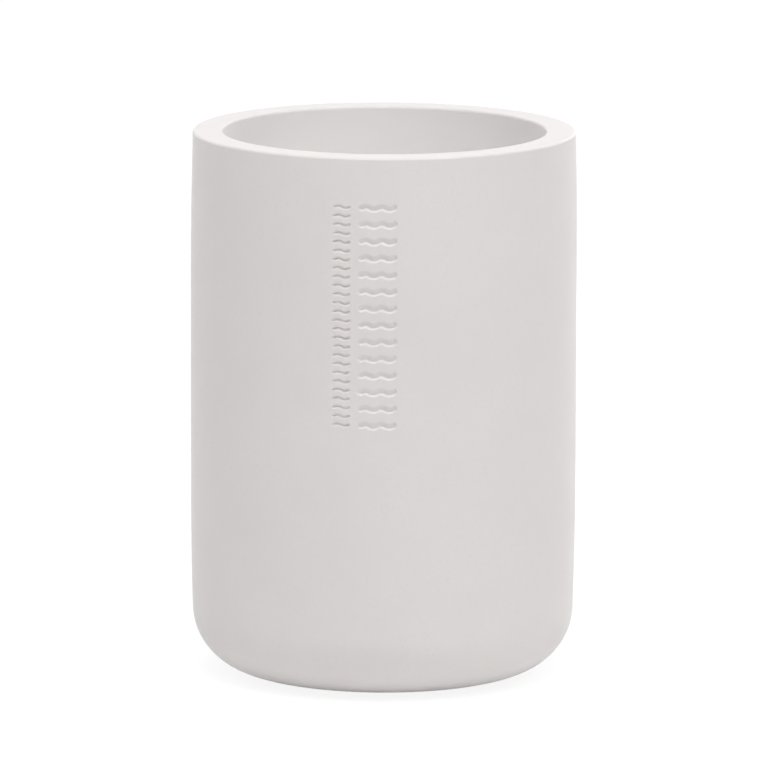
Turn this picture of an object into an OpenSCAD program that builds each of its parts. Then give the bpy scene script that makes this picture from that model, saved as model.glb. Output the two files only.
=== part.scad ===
// Bathroom tumbler: a cast cup with a round heel, a flat thick rim and a sunken relief on its
// front, standing on a foam pad that is glued into a recess in its underside.
// +Z is up, the front faces -Y, and the origin is the middle of the pad's underside.

/* [Cup] */
// Widest outside diameter
cup_d = 75; // [66:0.5:90]
// Overall height, from the table to the rim
cup_h = 106.5; // [92:0.5:130]
// Thickness of the wall at the rim
wall_t = 5.7; // [3:0.1:8]
// Thickness of the floor, from the recess below it to the cavity
floor_t = 7; // [4:0.1:14]
// How much narrower the cavity's radius is at its floor than at the rim
cavity_draft = 0.8; // [0:0.1:3]

/* [Rounded edges] */
// Radius of the heel, where the wall turns under the cup
heel_r = 12.5; // [6:0.5:14]
// Radius between the cavity's wall and its floor
cavity_r = 8; // [2:0.5:14]
// Radius of the rim's outer edge
rim_outer_r = 0.5; // [0.4:0.1:2]
// Radius of the rim's inner edge
rim_inner_r = 0.5; // [0.2:0.1:2]

/* [Bow of the wall] */
// How far the wall draws in at the rim
lip_draw = 0.4; // [0.1:0.05:1.5]
// Height below the rim at which that starts
lip_rise = 28; // [10:1:35]
// How far the wall draws in at the heel
foot_draw = 0.4; // [0.1:0.05:1.5]
// Height above the heel at which that starts
foot_rise = 24; // [10:1:35]

/* [Underside] */
// Diameter of the recess for the pad
recess_d = 45; // [30:0.5:46]
// Depth of the recess
recess_depth = 1.2; // [0.5:0.1:2]
// Gap all round the pad, inside the recess
pad_gap = 0.5; // [0.2:0.1:2]
// Thickness of the foam pad
pad_t = 1.6; // [1.2:0.1:3]
// Thickness of the adhesive film that holds the pad
film_t = 0.2; // [0.1:0.05:0.5]
// How far the film's edge lies inside the pad's edge
film_inset = 0.5; // [0:0.1:2]

/* [Relief] */
// Depth of the relief in the wall
relief_depth = 0.35; // [0.3:0.05:1]
// Distance from the rim to the uppermost ripples
relief_top = 9.5; // [7:0.5:20]
// Distance from the uppermost ripples to the lowest
relief_length = 42; // [38:0.5:50]
// Distance round the wall from the front line to the middle of the broad ripples, leftwards
relief_shift = 1.2; // [-6:0.1:6]
// Gap round the wall between the broad ripples and the narrow ones at their left
relief_gap = 1.6; // [0.5:0.1:6]
// Number of broad ripples
broad_count = 14; // [8:1:16]
// Width of a broad ripple from end to end
broad_w = 7.4; // [6.6:0.1:8.5]
// Width of a broad ripple's groove
broad_groove = 1.3; // [0.8:0.1:1.5]
// Number of narrow ripples
narrow_count = 26; // [12:1:27]
// Width of a narrow ripple from end to end
narrow_w = 3.3; // [2.6:0.1:4]
// Width of a narrow ripple's groove
narrow_groove = 0.55; // [0.4:0.05:0.8]

/* [Hidden] */
$fn = 96;

belly_r = cup_d / 2;
recess_r = recess_d / 2;
pad_r = recess_r - pad_gap;
film_r = pad_r - film_inset;

// Heights: the cup's land stands clear of the table by what the pad stands proud.
land_z = pad_t + film_t - recess_depth;
recess_z = land_z + recess_depth;
floor_z = recess_z + floor_t;

// Steps in the arcs of the cup's outline
edge_steps = 6;
bow_steps = 6;
heel_steps = 16;

// The wall is upright at the belly. Above and below it bows in along a wide arc, whose radius
// follows from its rise and its draw, and each edge is an arc tangent to its neighbour.
function bow_radius(rise, draw) = (rise * rise + draw * draw) / (2 * draw);

lip_arc_r = bow_radius(lip_rise, lip_draw);
lip_centre = [belly_r - lip_arc_r, cup_h - lip_rise];
lip_angle = asin((lip_rise - rim_outer_r) / (lip_arc_r - rim_outer_r));
rim_outer_centre = lip_centre + (lip_arc_r - rim_outer_r) * [cos(lip_angle), sin(lip_angle)];

foot_arc_r = bow_radius(foot_rise, foot_draw);
foot_angle = asin(foot_rise / foot_arc_r);
foot_centre = [belly_r - foot_arc_r, land_z + heel_r + (foot_arc_r - heel_r) * sin(foot_angle)];
heel_centre = foot_centre + (foot_arc_r - heel_r) * [cos(foot_angle), -sin(foot_angle)];

// The cavity's wall is a cone, tangent to the rim's inner edge and to the round above its floor.
cavity_top_r = belly_r - lip_draw - wall_t;
draft_angle = atan(cavity_draft / (cup_h - floor_z));
function cavity_radius(z) = cavity_top_r - (cup_h - z) * tan(draft_angle);
rim_inner_z = cup_h - rim_inner_r;
rim_inner_centre = [cavity_radius(rim_inner_z) + rim_inner_r / cos(draft_angle), rim_inner_z];
cavity_round_z = floor_z + cavity_r;
cavity_round_centre = [cavity_radius(cavity_round_z) - cavity_r / cos(draft_angle), cavity_round_z];

// Points along an arc, from one angle to another
function arc(centre, radius, from, to, steps) =
    [for (i = [0 : steps]) let (a = from + (to - from) * i / steps) centre + radius * [cos(a), sin(a)]];

// The outside of the cup in section, from the edge of its land up to its flat rim
outer_outline = concat(
    arc(heel_centre, heel_r, -90, -foot_angle, heel_steps),
    arc(foot_centre, foot_arc_r, -foot_angle * (1 - 1 / bow_steps), 0, bow_steps - 1),
    arc(lip_centre, lip_arc_r, 0, lip_angle, bow_steps),
    arc(rim_outer_centre, rim_outer_r, lip_angle + (90 - lip_angle) / edge_steps, 90, edge_steps - 1)
);

// The inside of the cup in section, from its flat rim down to its floor
inner_outline = concat(
    arc(rim_inner_centre, rim_inner_r, 90, 180 - draft_angle, edge_steps),
    arc(cavity_round_centre, cavity_r, -draft_angle, -90, heel_steps)
);

// The outside radius at a height above the heel
function bowed_in(radius, distance) = belly_r - radius + sqrt(radius * radius - distance * distance);
function wall_radius(z) =
    z > lip_centre[1] ? bowed_in(lip_arc_r, z - lip_centre[1]) :
    z < foot_centre[1] ? bowed_in(foot_arc_r, foot_centre[1] - z) :
    belly_r;

// A ripple is a chain of bends, an even number of arcs that bulge up and down by turns and lean by
// ripple_lean where they meet.
broad_bends = 4;
narrow_bends = 2;
ripple_lean = 32;

// Steps in the arcs of a ripple's outline. Its sides run straight through where bends meet.
bend_steps = 5;
bend_reach = ripple_lean * (1 - 2 / bend_steps);
end_steps = 4;

// The upper side of a ripple's groove along one of its bends, counted from 0 at the left
function bend_side(i, bends, chord, groove) =
    let (up = i % 2 == 0 ? 1 : -1, radius = chord / 2 / sin(ripple_lean))
    arc(
        [(i - (bends - 1) / 2) * chord, -up * radius * cos(ripple_lean)],
        radius + up * groove / 2,
        up * (90 + bend_reach),
        up * (90 - bend_reach),
        bend_steps - 2
    );

// Half of a ripple's outline: its upper side and its right end. Half a turn gives the rest.
function ripple_half(width, groove, bends) =
    let (chord = (width - groove) / bends)
    concat(
        [for (i = [0 : bends - 1]) each bend_side(i, bends, chord, groove)],
        arc([bends / 2 * chord, 0], groove / 2, ripple_lean + 90, ripple_lean - 90, end_steps)
    );

narrow_shift = relief_shift + broad_w / 2 + relief_gap + narrow_w / 2;

// How far a cut starts outside what it cuts
overrun = 0.5;

module cup_section() {
    polygon(concat(
        [[0, recess_z], [recess_r, recess_z], [recess_r, land_z]],
        outer_outline,
        inner_outline,
        [[0, floor_z]]
    ));
}

module ripple(width, groove, bends) {
    half = ripple_half(width, groove, bends);
    polygon(concat(half, -half));
}

// Drives a flat shape into the wall at a height, leftwards of the front line by a distance
// measured round the wall
module stamp(shift, z) {
    rotate([0, 0, -shift / belly_r * 180 / PI])
        translate([0, relief_depth - wall_radius(z), z])
            rotate([90, 0, 0])
                linear_extrude(relief_depth + overrun)
                    children();
}

// Cuts a number of equal shapes into the wall, evenly from the relief's top to its bottom
module column(shift, count) {
    for (i = [0 : count - 1])
        stamp(shift, cup_h - relief_top - relief_length * i / (count - 1))
            children();
}

module relief() {
    column(relief_shift, broad_count) ripple(broad_w, broad_groove, broad_bends);
    column(narrow_shift, narrow_count) ripple(narrow_w, narrow_groove, narrow_bends);
}

module cup_body() {
    color("gainsboro")
        difference() {
            rotate_extrude() cup_section();
            relief();
        }
}

module pad_adhesive() {
    color("lemonchiffon")
        translate([0, 0, pad_t])
            cylinder(r = film_r, h = film_t);
}

module foot_pad() {
    color("lightgray")
        cylinder(r = pad_r, h = pad_t);
}

cup_body();
pad_adhesive();
foot_pad();
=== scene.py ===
import math

import bpy
import numpy as np
from mathutils import Matrix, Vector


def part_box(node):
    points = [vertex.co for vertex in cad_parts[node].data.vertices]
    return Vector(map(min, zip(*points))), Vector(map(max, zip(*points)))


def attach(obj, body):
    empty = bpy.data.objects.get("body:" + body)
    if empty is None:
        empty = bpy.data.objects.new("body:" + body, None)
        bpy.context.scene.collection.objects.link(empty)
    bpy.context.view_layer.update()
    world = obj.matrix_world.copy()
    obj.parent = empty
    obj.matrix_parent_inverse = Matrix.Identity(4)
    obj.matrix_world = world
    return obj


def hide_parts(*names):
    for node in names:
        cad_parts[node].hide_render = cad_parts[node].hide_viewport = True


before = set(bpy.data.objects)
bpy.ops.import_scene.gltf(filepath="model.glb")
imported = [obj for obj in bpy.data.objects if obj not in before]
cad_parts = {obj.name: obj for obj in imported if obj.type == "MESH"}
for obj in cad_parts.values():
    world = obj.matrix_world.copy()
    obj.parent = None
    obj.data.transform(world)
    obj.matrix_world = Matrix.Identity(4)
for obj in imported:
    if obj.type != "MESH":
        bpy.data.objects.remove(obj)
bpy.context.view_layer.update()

# Lengths are in metres and angles in radians. The front is at -Y, and a section through a piece is in
# (radius, height).
MM = 0.001
FRONT = -math.pi / 2

# What the frame gives
cup_low, cup_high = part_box("cup_body")
pad_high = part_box("foot_pad")[1]
film_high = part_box("pad_adhesive")[1]
CUP_H = cup_high.z
BELLY_R = cup_high.x
LAND_Z = cup_low.z
RECESS_Z = film_high.z
PAD_R = pad_high.x
PAD_T = pad_high.z

# The cup, with the sizes of its solid
WALL_T = 5.7 * MM
FLOOR_T = 7 * MM
CAVITY_DRAFT = 0.8 * MM
HEEL_R = 12.5 * MM
CAVITY_R = 8 * MM
RIM_OUTER_R = 0.5 * MM
RIM_INNER_R = 0.5 * MM
LIP_DRAW = 0.4 * MM
LIP_RISE = 28 * MM
FOOT_DRAW = 0.4 * MM
FOOT_RISE = 24 * MM
RECESS_R = 22.5 * MM

# The relief, with the sizes of its pockets: a column of broad ripples and one of narrow ones
RELIEF_DEPTH = 0.35 * MM
RELIEF_TOP = 9.5 * MM
RELIEF_LENGTH = 42 * MM
RELIEF_SHIFT = 1.2 * MM
RELIEF_GAP = 1.6 * MM
BROAD_COUNT = 14
BROAD_W = 7.4 * MM
BROAD_GROOVE = 1.3 * MM
BROAD_BENDS = 4
NARROW_COUNT = 26
NARROW_W = 3.3 * MM
NARROW_GROOVE = 0.55 * MM
NARROW_BENDS = 2
NARROW_SHIFT = RELIEF_SHIFT + BROAD_W / 2 + RELIEF_GAP + NARROW_W / 2
RIPPLE_LEAN = math.radians(32)

# The sides of a groove slope, the upper one gently and the lower one steeply. They start a lip's
# width outside the pocket's edge.
GROOVE_LIP = 0.1 * MM
BROAD_SLOPES = (1.3 * MM, 0.4 * MM)
NARROW_SLOPES = (0.35 * MM, 0.3 * MM)

# Small rounds at the recess, under its ceiling and where it meets the land
RECESS_FILLET_R = 0.15 * MM
RECESS_EDGE_R = 0.25 * MM

# The slight waves of a hand-finished casting: how many of each go round the cup, the rise over which
# they shift by a radian, and their phase. They fade out over CASTING_FADE.
CASTING_WAVES = ((3, 9 * MM, 0), (5, -13 * MM, 1), (8, 6 * MM, 2))
CASTING_DEPTH = 0.012 * MM
CASTING_FADE = 6 * MM

# The pad's rounded edges, and how far its cut side is hollow
PAD_EDGE_R = 0.2 * MM
PAD_HOLLOW = 0.15 * MM

# Spacing of the mesh: along plain stretches, round plain walls, along wide and tight rounds, and up
# and across the relief and the margin round it
WALL_STEP = 2.5 * MM
COLUMN_STEP = 2.5 * MM
HEEL_STEP = 0.8 * MM
EDGE_STEP = 0.12 * MM
RELIEF_ROW = 0.1 * MM
RELIEF_COLUMN = 0.2 * MM
RELIEF_MARGIN = 1.2 * MM


def bow_radius(rise, draw):
    """Radius of the arc by which the upright wall draws in over a rise."""
    return (rise * rise + draw * draw) / (2 * draw)


LIP_ARC_R = bow_radius(LIP_RISE, LIP_DRAW)
LIP_CENTRE = (BELLY_R - LIP_ARC_R, CUP_H - LIP_RISE)
LIP_ANGLE = math.asin((LIP_RISE - RIM_OUTER_R) / (LIP_ARC_R - RIM_OUTER_R))
FOOT_ARC_R = bow_radius(FOOT_RISE, FOOT_DRAW)
FOOT_ANGLE = math.asin(FOOT_RISE / FOOT_ARC_R)
FOOT_CENTRE = (BELLY_R - FOOT_ARC_R, LAND_Z + HEEL_R + (FOOT_ARC_R - HEEL_R) * math.sin(FOOT_ANGLE))
FLOOR_Z = RECESS_Z + FLOOR_T
CAVITY_TOP_R = BELLY_R - LIP_DRAW - WALL_T
DRAFT_ANGLE = math.atan(CAVITY_DRAFT / (CUP_H - FLOOR_Z))


def along(centre, reach, angle):
    """The point at a distance and an angle from a centre, in section."""
    return (centre[0] + reach * math.cos(angle), centre[1] + reach * math.sin(angle))


def arc(centre, radius, start, end, step):
    """Points along an arc in section, at most step apart."""
    count = max(3, math.ceil(abs(end - start) * radius / step))
    turn = np.linspace(start, end, count + 1)
    return np.column_stack((centre[0] + radius * np.cos(turn), centre[1] + radius * np.sin(turn)))


def line(start, end, step):
    """Points inside a straight stretch in section, closer together towards its ends."""
    start, end = np.array(start), np.array(end)
    count = max(3, math.ceil(np.linalg.norm(end - start) / step))
    share = (1 - np.cos(np.linspace(0, math.pi, count + 1)[1:-1])) / 2
    return start + share[:, None] * (end - start)


def spread(low, high, step):
    """Even values from low up to but without high, at most step apart."""
    count = max(1, math.ceil((high - low) / step))
    return np.linspace(low, high, count + 1)[:-1]


def wall_radius(height):
    """The outside radius between the heel and the rim's edge."""
    over = np.clip(height - LIP_CENTRE[1], 0, None)
    under = np.clip(FOOT_CENTRE[1] - height, 0, None)
    lip = LIP_ARC_R - np.sqrt(LIP_ARC_R**2 - over**2)
    foot = FOOT_ARC_R - np.sqrt(FOOT_ARC_R**2 - under**2)
    return BELLY_R - lip - foot


def cavity_radius(height):
    """The radius of the cavity's drafted wall."""
    return CAVITY_TOP_R - (CUP_H - height) * math.tan(DRAFT_ANGLE)


def underside_section():
    """From the middle of the recess out to the heel."""
    fillet = (RECESS_R - RECESS_FILLET_R, RECESS_Z - RECESS_FILLET_R)
    edge = (RECESS_R + RECESS_EDGE_R, LAND_Z + RECESS_EDGE_R)
    heel_start = (FOOT_CENTRE[0] + (FOOT_ARC_R - HEEL_R) * math.cos(FOOT_ANGLE), LAND_Z)
    return np.vstack((
        [(0, RECESS_Z)],
        line((0, RECESS_Z), (fillet[0], RECESS_Z), WALL_STEP),
        arc(fillet, RECESS_FILLET_R, math.pi / 2, 0, EDGE_STEP),
        arc(edge, RECESS_EDGE_R, math.pi, math.pi * 3 / 2, EDGE_STEP),
        line((edge[0], LAND_Z), heel_start, HEEL_STEP),
    ))


def heel_section():
    """The round from the land up to the wall."""
    centre = along(FOOT_CENTRE, FOOT_ARC_R - HEEL_R, -FOOT_ANGLE)
    return arc(centre, HEEL_R, -math.pi / 2, -FOOT_ANGLE, HEEL_STEP)


def wall_section(low):
    """From the heel up to the rim's edge, with close rows where the relief is and next to the rim."""
    rim_edge = along(LIP_CENTRE, LIP_ARC_R, LIP_ANGLE)[1]
    relief_high = CUP_H - RELIEF_TOP + RELIEF_MARGIN
    relief_low = CUP_H - RELIEF_TOP - RELIEF_LENGTH - RELIEF_MARGIN
    rows = np.concatenate((
        spread(low, relief_low, WALL_STEP)[1:],
        spread(relief_low, relief_high, RELIEF_ROW),
        spread(relief_high, rim_edge - RIM_OUTER_R, WALL_STEP),
        spread(rim_edge - RIM_OUTER_R, rim_edge, RIM_OUTER_R / 3),
    ))
    return np.column_stack((wall_radius(rows), rows))


def rim_section():
    """Over the flat rim, from its outer edge to its inner edge."""
    outer = along(LIP_CENTRE, LIP_ARC_R - RIM_OUTER_R, LIP_ANGLE)
    inner_z = CUP_H - RIM_INNER_R
    inner = (cavity_radius(inner_z) + RIM_INNER_R / math.cos(DRAFT_ANGLE), inner_z)
    return np.vstack((
        arc(outer, RIM_OUTER_R, LIP_ANGLE, math.pi / 2, EDGE_STEP),
        line((outer[0], CUP_H), (inner[0], CUP_H), HEEL_STEP),
        arc(inner, RIM_INNER_R, math.pi / 2, math.pi - DRAFT_ANGLE, EDGE_STEP / 2),
    ))


def cavity_section(top):
    """Down the cavity's wall and over its floor to the middle."""
    round_z = FLOOR_Z + CAVITY_R
    centre = (cavity_radius(round_z) - CAVITY_R / math.cos(DRAFT_ANGLE), round_z)
    bend = arc(centre, CAVITY_R, -DRAFT_ANGLE, -math.pi / 2, HEEL_STEP)
    return np.vstack((
        line(top, bend[0], WALL_STEP),
        bend,
        line(bend[-1], (0, FLOOR_Z), WALL_STEP),
        [(0, FLOOR_Z)],
    ))


def cup_columns():
    """Angles all round the cup, from the relief's left edge, close together where the relief is."""
    right = BROAD_W / 2 - RELIEF_SHIFT + RELIEF_MARGIN
    left = NARROW_SHIFT + NARROW_W / 2 + RELIEF_MARGIN
    start, end = FRONT - left / BELLY_R, FRONT + right / BELLY_R
    return np.concatenate((
        spread(start, end, RELIEF_COLUMN / BELLY_R),
        spread(end, start + 2 * math.pi, COLUMN_STEP / BELLY_R),
    ))


def smooth(share):
    """A share from 0 to 1, eased at both ends."""
    share = np.clip(share, 0, 1)
    return share * share * (3 - 2 * share)


def ripple_offsets(across, up, chord, bends):
    """How far points are from a ripple's middle line, and how far above it. The line is a chain of
    arcs that bulge up and down by turns."""
    sine, cosine = math.sin(RIPPLE_LEAN), math.cos(RIPPLE_LEAN)
    radius = chord / 2 / sine
    nearest = np.full(np.broadcast(across, up).shape, np.inf)
    above = np.zeros(nearest.shape)
    for i in range(bends):
        side = 1 if i % 2 == 0 else -1
        x = across - (i - (bends - 1) / 2) * chord
        y = side * up + radius * cosine
        reach = np.hypot(x, y)
        beside = y >= reach * cosine
        end_x, end_y = np.abs(x) - chord / 2, y - radius * cosine
        away = np.where(beside, np.abs(reach - radius), np.hypot(end_x, end_y))
        rise = side * np.where(beside, reach - radius, end_x * sine + end_y * cosine)
        above = np.where(away < nearest, rise, above)
        nearest = np.minimum(away, nearest)
    return nearest, above


def ripple_column(angle, height, shift, count, width, groove, bends, slopes):
    """How far one column of ripples sinks the wall."""
    across = BELLY_R * np.sin(angle - FRONT + shift / BELLY_R)
    edge = groove / 2 + GROOVE_LIP
    sunk = np.zeros(np.broadcast(angle, height).shape)
    for i in range(count):
        up = height - CUP_H + RELIEF_TOP + RELIEF_LENGTH * i / (count - 1)
        away, above = ripple_offsets(across, up, (width - groove) / bends, bends)
        upper = smooth((edge - above) / slopes[0])
        lower = smooth((edge - away) / slopes[1])
        sunk = np.maximum(sunk, RELIEF_DEPTH * np.minimum(upper, lower))
    return np.where(np.cos(angle - FRONT) > 0, sunk, 0)


def relief(angle, height):
    """How far the relief sinks the wall, over a grid of angles and heights."""
    broad = ripple_column(
        angle, height, RELIEF_SHIFT, BROAD_COUNT, BROAD_W, BROAD_GROOVE, BROAD_BENDS, BROAD_SLOPES
    )
    narrow = ripple_column(
        angle, height, NARROW_SHIFT, NARROW_COUNT, NARROW_W, NARROW_GROOVE, NARROW_BENDS, NARROW_SLOPES
    )
    return np.maximum(broad, narrow)


def casting_waves(angle, height):
    """How far the casting's waves sink the wall. They fade towards its upper and lower edges."""
    waves = sum(np.sin(count * angle + height / rise + phase) for count, rise, phase in CASTING_WAVES)
    inside = np.minimum(height - LAND_Z - HEEL_R, CUP_H - RIM_OUTER_R - height)
    return CASTING_DEPTH * (len(CASTING_WAVES) + waves) * np.clip(inside / CASTING_FADE, 0, 1)


def mesh_object(name, points, faces):
    """A smooth-shaded mesh in the object's own frame."""
    mesh = bpy.data.meshes.new(name)
    mesh.from_pydata(points.tolist(), [], faces)
    mesh.shade_smooth()
    mesh.validate()
    made = bpy.data.objects.new(name, mesh)
    bpy.context.scene.collection.objects.link(made)
    return made


def revolve(name, section, columns, sunk=0):
    """A closed solid turned about +Z. The section runs from the axis below, round the outside, back to
    the axis above, and sunk moves each point of the grid towards the axis."""
    rings, turns = len(section) - 2, len(columns)
    radius = (section[:, :1] - sunk)[1:-1]
    height = np.broadcast_to(section[1:-1, 1:], (rings, turns))
    around = np.stack((radius * np.cos(columns), radius * np.sin(columns), height), axis=-1)
    ends = [(0, 0, section[0, 1]), (0, 0, section[-1, 1])]
    points = np.vstack((around.reshape(-1, 3), ends))
    below, above = rings * turns, rings * turns + 1
    last = (rings - 1) * turns
    faces = []
    for j in range(turns):
        k = (j + 1) % turns
        faces.append((below, k, j))
        for i in range(rings - 1):
            row, upper = i * turns, (i + 1) * turns
            faces.append((row + j, row + k, upper + k, upper + j))
        faces.append((above, last + j, last + k))
    return mesh_object(name, points, faces)


def make_cup():
    """The whole casting as one closed shape."""
    heel = heel_section()
    wall = wall_section(heel[-1, 1])
    rim = rim_section()
    below = np.vstack((underside_section(), heel))
    section = np.vstack((below, wall, rim, cavity_section(rim[-1])))
    columns = cup_columns()
    heights = wall[:, 1:]
    sunk = np.zeros((len(section), len(columns)))
    sunk[len(below):len(below) + len(wall)] = relief(columns, heights) + casting_waves(columns, heights)
    return revolve("cast_cup", section, columns, sunk)


def make_pad():
    """The foam disc, with a slightly hollow cut side and rounded edges."""
    inner_r = PAD_R - PAD_EDGE_R
    sides = spread(PAD_EDGE_R, PAD_T - PAD_EDGE_R, EDGE_STEP)[1:]
    share = (sides - PAD_EDGE_R) / (PAD_T - 2 * PAD_EDGE_R)
    section = np.vstack((
        [(0, 0)],
        line((0, 0), (inner_r, 0), WALL_STEP),
        arc((inner_r, PAD_EDGE_R), PAD_EDGE_R, -math.pi / 2, 0, EDGE_STEP / 2),
        np.column_stack((PAD_R - PAD_HOLLOW * np.sin(math.pi * share), sides)),
        arc((inner_r, PAD_T - PAD_EDGE_R), PAD_EDGE_R, 0, math.pi / 2, EDGE_STEP / 2),
        line((inner_r, PAD_T), (0, PAD_T), WALL_STEP),
        [(0, PAD_T)],
    ))
    return revolve("foam_pad", section, spread(0, 2 * math.pi, HEEL_STEP / PAD_R))


# Most of a noise's values lie in this range.
NOISE_RANGE = (0.3, 0.7)


def material(name, level=0.5):
    """A new material with a specular level, its node tree and its shader."""
    made = bpy.data.materials.new(name)
    made.use_nodes = True
    tree = made.node_tree
    shader = tree.nodes["Principled BSDF"]
    shader.inputs["Specular IOR Level"].default_value = level
    return made, tree, shader


def noise(tree, size, detail=2.0):
    """Noise whose clouds are about size across, in the object's own frame."""
    place = tree.nodes.new("ShaderNodeTexCoord")
    node = tree.nodes.new("ShaderNodeTexNoise")
    node.inputs["Scale"].default_value = 1 / size
    node.inputs["Detail"].default_value = detail
    tree.links.new(place.outputs["Object"], node.inputs["Vector"])
    return node.outputs["Fac"]


def ramp(tree, value, start, end, low, high):
    """A value that runs from low to high as another runs from start to end."""
    node = tree.nodes.new("ShaderNodeMapRange")
    node.inputs["From Min"].default_value = start
    node.inputs["From Max"].default_value = end
    node.inputs["To Min"].default_value = low
    node.inputs["To Max"].default_value = high
    tree.links.new(value, node.inputs["Value"])
    return node.outputs["Result"]


def clouds(tree, size, low=0, high=1, detail=2.0):
    """Soft clouds about size across, which run from low to high."""
    return ramp(tree, noise(tree, size, detail), *NOISE_RANGE, low, high)


def combine(tree, operation, first, second):
    """What a Math node makes of an output and of another output or a number."""
    node = tree.nodes.new("ShaderNodeMath")
    node.operation = operation
    tree.links.new(first, node.inputs[0])
    if isinstance(second, float):
        node.inputs[1].default_value = second
    else:
        tree.links.new(second, node.inputs[1])
    return node.outputs["Value"]


def blend_colours(tree, share, first, second):
    """A colour between two, by a share from 0 to 1. Either one is a colour or an output."""
    node = tree.nodes.new("ShaderNodeMix")
    node.data_type = "RGBA"
    tree.links.new(share, node.inputs["Factor"])
    for socket, value in zip([s for s in node.inputs if s.type == "RGBA"], (first, second)):
        if isinstance(value, tuple):
            socket.default_value = (*value, 1)
        else:
            tree.links.new(value, socket)
    return next(s for s in node.outputs if s.type == "RGBA")


def bump(tree, height, depth, normal=None):
    """A normal that follows a height from 0 to 1, depth deep."""
    node = tree.nodes.new("ShaderNodeBump")
    node.inputs["Distance"].default_value = depth
    tree.links.new(height, node.inputs["Height"])
    if normal is not None:
        tree.links.new(normal, node.inputs["Normal"])
    return node.outputs["Normal"]


# The resin: its colour, the paler clouds and darker specks in it, and a paler copy of it that paints
# light into the cavity
RESIN = (0.741, 0.709, 0.700)
RESIN_CLOUD = (0.755, 0.725, 0.716)
RESIN_SPECK = (0.722, 0.695, 0.687)
RESIN_INSIDE_PAINTED_LIGHT = (0.905, 0.887, 0.879)
CLOUD_SIZE = 14 * MM
SPECK_SIZE = 0.7 * MM
SPECK_RANGE = (0.55, 0.8)

# Its roughness, which varies in patches, the bloom on its edges, its dimples and its mineral grain
RESIN_ROUGHNESS = (0.54, 0.66)
RESIN_PATCH_SIZE = 5 * MM
BLOOM_WEIGHT = 0.2
BLOOM_ROUGHNESS = 0.4
DIMPLE_SIZE = 1.5 * MM
DIMPLE_DEPTH = 0.012 * MM
GRAIN_SIZE = 0.25 * MM
GRAIN_DEPTH = 0.004 * MM


def painted_inside_light_share(tree):
    """Where the cavity's resin is painted paler, as painted light: 1 in the cavity, and 0 on the rim
    and outside. It changes on the lower half of the rim's inner edge, and between the recess and the
    cavity's floor."""
    place = tree.nodes.new("ShaderNodeTexCoord")
    parts = tree.nodes.new("ShaderNodeSeparateXYZ")
    flat = tree.nodes.new("ShaderNodeCombineXYZ")
    reach = tree.nodes.new("ShaderNodeVectorMath")
    reach.operation = "LENGTH"
    tree.links.new(place.outputs["Object"], parts.inputs["Vector"])
    tree.links.new(parts.outputs["X"], flat.inputs["X"])
    tree.links.new(parts.outputs["Y"], flat.inputs["Y"])
    tree.links.new(flat.outputs["Vector"], reach.inputs[0])
    height = parts.outputs["Z"]
    within = ramp(tree, reach.outputs["Value"], CAVITY_TOP_R + RIM_INNER_R, CAVITY_TOP_R, 0, 1)
    above = ramp(tree, height, RECESS_Z, FLOOR_Z, 0, 1)
    under = ramp(tree, height, CUP_H - RIM_INNER_R / 2, CUP_H - RIM_INNER_R, 0, 1)
    return combine(tree, "MULTIPLY", combine(tree, "MULTIPLY", within, above), under)


def resin_material():
    """Cast resin with stone powder: matte, faintly clouded, with a fine mineral grain and a powdery
    bloom that pales its edges, and painted paler inside the cup to stand in for light that the cavity
    lacks."""
    made, tree, shader = material("cast_resin")
    shader.inputs["Sheen Weight"].default_value = BLOOM_WEIGHT
    shader.inputs["Sheen Roughness"].default_value = BLOOM_ROUGHNESS
    tint = blend_colours(tree, clouds(tree, CLOUD_SIZE, detail=3), RESIN, RESIN_CLOUD)
    specks = ramp(tree, noise(tree, SPECK_SIZE), *SPECK_RANGE, 0, 1)
    tint = blend_colours(tree, specks, tint, RESIN_SPECK)
    # Painted light: the cavity gets a paler copy of the resin's colour, standing in for light it
    # doesn't receive.
    tint = blend_colours(tree, painted_inside_light_share(tree), tint, RESIN_INSIDE_PAINTED_LIGHT)
    tree.links.new(tint, shader.inputs["Base Color"])
    patches = clouds(tree, RESIN_PATCH_SIZE, *RESIN_ROUGHNESS, detail=3)
    tree.links.new(patches, shader.inputs["Roughness"])
    grain = bump(tree, noise(tree, GRAIN_SIZE), GRAIN_DEPTH)
    dimples = bump(tree, noise(tree, DIMPLE_SIZE), DIMPLE_DEPTH, grain)
    tree.links.new(dimples, shader.inputs["Normal"])
    return made


# The foam: its walls, the painted shade in the hollows in the middle of its cut cells, the distances
# from the middle over which a hollow turns into wall, its specular level, and its roughness, which
# varies in patches
FOAM = (0.74, 0.74, 0.72)
FOAM_HOLLOW_PAINTED_SHADE = (0.62, 0.62, 0.60)
CELL_SIZE = 0.45 * MM
CELL_DEPTH = 0.06 * MM
CELL_RANGE = (0.3, 0.7)
FOAM_LEVEL = 0.3
FOAM_ROUGHNESS = (0.78, 0.92)
FOAM_PATCH_SIZE = 2 * MM


def foam_material():
    """Closed-cell EVA foam, cut so that its fine cells show, with painted shade in their hollows."""
    made, tree, shader = material("eva_foam", FOAM_LEVEL)
    place = tree.nodes.new("ShaderNodeTexCoord")
    cells = tree.nodes.new("ShaderNodeTexVoronoi")
    cells.inputs["Scale"].default_value = 1 / CELL_SIZE
    tree.links.new(place.outputs["Object"], cells.inputs["Vector"])
    # Painted shade: the colour darkens towards each cell's hollow middle.
    painted_hollow_shade = ramp(tree, cells.outputs["Distance"], *CELL_RANGE, 1, 0)
    tree.links.new(blend_colours(tree, painted_hollow_shade, FOAM, FOAM_HOLLOW_PAINTED_SHADE), shader.inputs["Base Color"])
    tree.links.new(clouds(tree, FOAM_PATCH_SIZE, *FOAM_ROUGHNESS), shader.inputs["Roughness"])
    tree.links.new(bump(tree, cells.outputs["Distance"], CELL_DEPTH), shader.inputs["Normal"])
    return made


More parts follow.
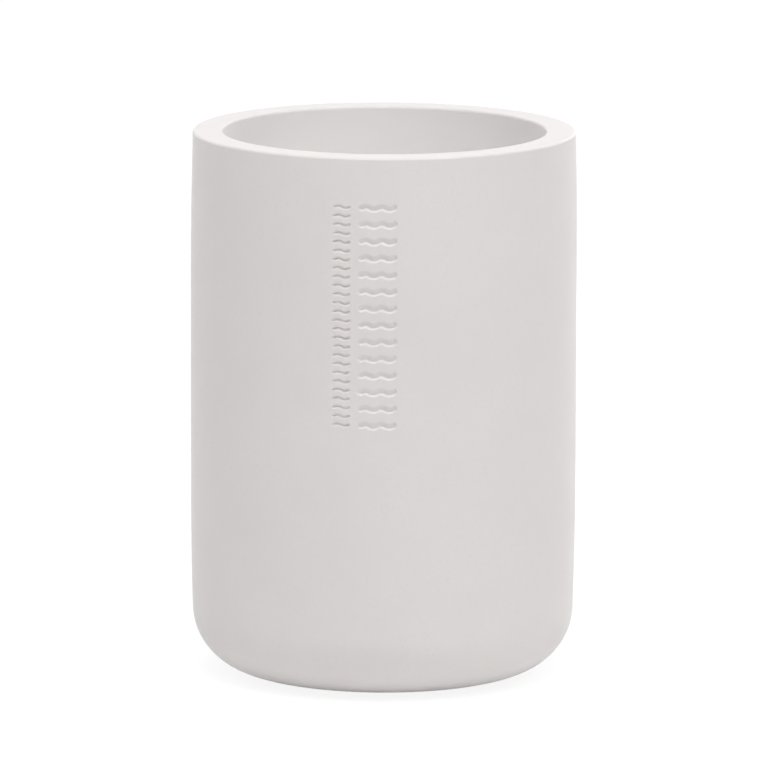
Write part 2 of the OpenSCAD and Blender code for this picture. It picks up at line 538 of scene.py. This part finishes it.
# The adhesive: its colour, the paler streaks from its coating, its roughness and its ripples
ADHESIVE = (0.60, 0.54, 0.34)
ADHESIVE_STREAK = (0.66, 0.60, 0.42)
STREAK_SIZE = 3 * MM
ADHESIVE_ROUGHNESS = (0.32, 0.48)
ADHESIVE_PATCH_SIZE = 1 * MM
ADHESIVE_RIPPLE_SIZE = 0.8 * MM
ADHESIVE_RIPPLE_DEPTH = 0.01 * MM


def adhesive_material():
    """Satin pressure-sensitive adhesive with faint streaks."""
    made, tree, shader = material("adhesive_film")
    tint = blend_colours(tree, clouds(tree, STREAK_SIZE, detail=3), ADHESIVE, ADHESIVE_STREAK)
    tree.links.new(tint, shader.inputs["Base Color"])
    patches = clouds(tree, ADHESIVE_PATCH_SIZE, *ADHESIVE_ROUGHNESS)
    tree.links.new(patches, shader.inputs["Roughness"])
    ripples = bump(tree, noise(tree, ADHESIVE_RIPPLE_SIZE), ADHESIVE_RIPPLE_DEPTH)
    tree.links.new(ripples, shader.inputs["Normal"])
    return made


def dress(piece, finish):
    """Gives a piece one material, in each of its slots."""
    if not piece.data.materials:
        piece.data.materials.append(finish)
    for slot in piece.material_slots:
        slot.material = finish


# The floor: its side, its own colour and roughness, the faint light that it gives the cup, and for
# looks alone, the share of it that glows white and how strongly
FLOOR_SIZE = 12.0
FLOOR_PALE = 0.9
FLOOR_ROUGHNESS = 0.9
FLOOR_GLOW = 0.055
FLOOR_SEEN = 0.80
FLOOR_WHITE = 1.08

# The even light from all round
WORLD_LEVEL = 0.04


def seen_share(tree, seen):
    """How much a ray sees of what is there for looks alone: seen for a ray from the camera or one
    that a glossy or clear surface sends on, and 0 for the rays that light the object."""
    path = tree.nodes.new("ShaderNodeLightPath")
    direct = path.outputs["Is Camera Ray"]
    glossy = combine(tree, "MAXIMUM", direct, path.outputs["Is Glossy Ray"])
    clear = combine(tree, "MAXIMUM", glossy, path.outputs["Is Transmission Ray"])
    return combine(tree, "MULTIPLY", clear, seen)


def make_floor():
    """A flat white floor. Most of what shows of it glows white by itself, and the rest keeps the cup's
    shadow."""
    half = FLOOR_SIZE / 2
    corners = np.array([(-half, -half, 0), (half, -half, 0), (half, half, 0), (-half, half, 0)])
    floor = mesh_object("floor", corners, [(0, 1, 2, 3)])
    made, tree, shader = material("floor_white", 0.0)
    shader.inputs["Base Color"].default_value = (FLOOR_PALE, FLOOR_PALE, FLOOR_PALE, 1)
    shader.inputs["Roughness"].default_value = FLOOR_ROUGHNESS
    shader.inputs["Emission Color"].default_value = (1, 1, 1, 1)
    shader.inputs["Emission Strength"].default_value = FLOOR_GLOW
    white = tree.nodes.new("ShaderNodeEmission")
    white.inputs["Strength"].default_value = FLOOR_WHITE
    mix = tree.nodes.new("ShaderNodeMixShader")
    tree.links.new(seen_share(tree, FLOOR_SEEN), mix.inputs["Fac"])
    tree.links.new(shader.outputs["BSDF"], mix.inputs[1])
    tree.links.new(white.outputs["Emission"], mix.inputs[2])
    tree.links.new(mix.outputs["Shader"], tree.nodes["Material Output"].inputs["Surface"])
    dress(floor, made)


def make_world():
    """Even light from all round, in front of a white backdrop."""
    world = bpy.data.worlds.new("studio")
    bpy.context.scene.world = world
    world.use_nodes = True
    tree = world.node_tree
    light = tree.nodes["Background"]
    light.inputs["Color"].default_value = (1, 1, 1, 1)
    light.inputs["Strength"].default_value = WORLD_LEVEL
    white = tree.nodes.new("ShaderNodeBackground")
    white.inputs["Color"].default_value = (1, 1, 1, 1)
    mix = tree.nodes.new("ShaderNodeMixShader")
    tree.links.new(seen_share(tree, 1.0), mix.inputs["Fac"])
    tree.links.new(light.outputs["Background"], mix.inputs[1])
    tree.links.new(white.outputs["Background"], mix.inputs[2])
    tree.links.new(mix.outputs["Shader"], tree.nodes["World Output"].inputs["Surface"])


# The softboxes: where each stands, its side and its power in watts. They point at the cup's middle.
LAMPS = {
    "over": ((0, 0, 1.1), 1.0, 1.9),
    "front_top": ((0, -0.5, 1.1), 0.9, 9.8),
    "right_top": ((0.85, -0.35, 0.8), 0.8, 3.9),
    "left_top": ((-0.85, -0.35, 0.8), 0.8, 2.25),
    "right_rear": ((0.6, 1.0, 0.45), 0.7, 4.8),
    "left_rear": ((-0.6, 1.0, 0.45), 0.7, 2.85),
}
LAMP_AIM = (0, 0, CUP_H / 2)

# The camera, a long lens from slightly above the rim. Its roll and its step aside are those of the
# photograph's framing. Its sensor and lens are in millimetres.
CAMERA_DISTANCE = 1.8
CAMERA_LIFT = math.radians(10.022)
CAMERA_AIM_Z = 56.48 * MM
CAMERA_SENSOR = 36
CAMERA_LENS = 433.6
CAMERA_ROLL = math.radians(0.2)
CAMERA_SIDE = 0.106 * MM


def look_at(thing, place, aim):
    """Puts a lamp or a camera in its place and turns it towards a point."""
    back = np.array(place) - np.array(aim)
    back = back / np.linalg.norm(back)
    side = np.cross((0, 0, 1), back)
    if not side.any():
        side = np.array((1, 0, 0))
    side = side / np.linalg.norm(side)
    up = np.cross(back, side)
    turn = Matrix(np.column_stack((side, up, back)).tolist()).to_4x4()
    turn.translation = place
    thing.matrix_world = turn


def softbox(name, place, size, power):
    """A square soft lamp that points at the cup and isn't seen itself."""
    lamp = bpy.data.lights.new(name, "AREA")
    lamp.shape = "SQUARE"
    lamp.size = size
    lamp.energy = power
    made = bpy.data.objects.new(name, lamp)
    bpy.context.scene.collection.objects.link(made)
    look_at(made, place, LAMP_AIM)
    made.visible_camera = False


def make_lights():
    """All the softboxes."""
    for name, (place, size, power) in LAMPS.items():
        softbox(name, place, size, power)


def make_camera():
    """The scene's camera."""
    lens = bpy.data.cameras.new("camera")
    lens.sensor_width = CAMERA_SENSOR
    lens.lens = CAMERA_LENS
    lens.clip_end = FLOOR_SIZE
    camera = bpy.data.objects.new("camera", lens)
    bpy.context.scene.collection.objects.link(camera)
    out, lift = CAMERA_DISTANCE * math.cos(CAMERA_LIFT), CAMERA_DISTANCE * math.sin(CAMERA_LIFT)
    place = (CAMERA_SIDE, -out, CAMERA_AIM_Z + lift)
    look_at(camera, place, (CAMERA_SIDE, 0, CAMERA_AIM_Z))
    camera.matrix_world = camera.matrix_world @ Matrix.Rotation(CAMERA_ROLL, 4, "Z")
    bpy.context.scene.camera = camera


make_camera()
make_world()
make_lights()
make_floor()

cup = make_cup()
dress(cup, resin_material())
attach(cup, "root")
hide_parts("cup_body")

pad = make_pad()
dress(pad, foam_material())
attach(pad, "root")
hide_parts("foot_pad")

dress(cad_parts["pad_adhesive"], adhesive_material())

bpy.context.scene.view_settings.view_transform = "Standard"
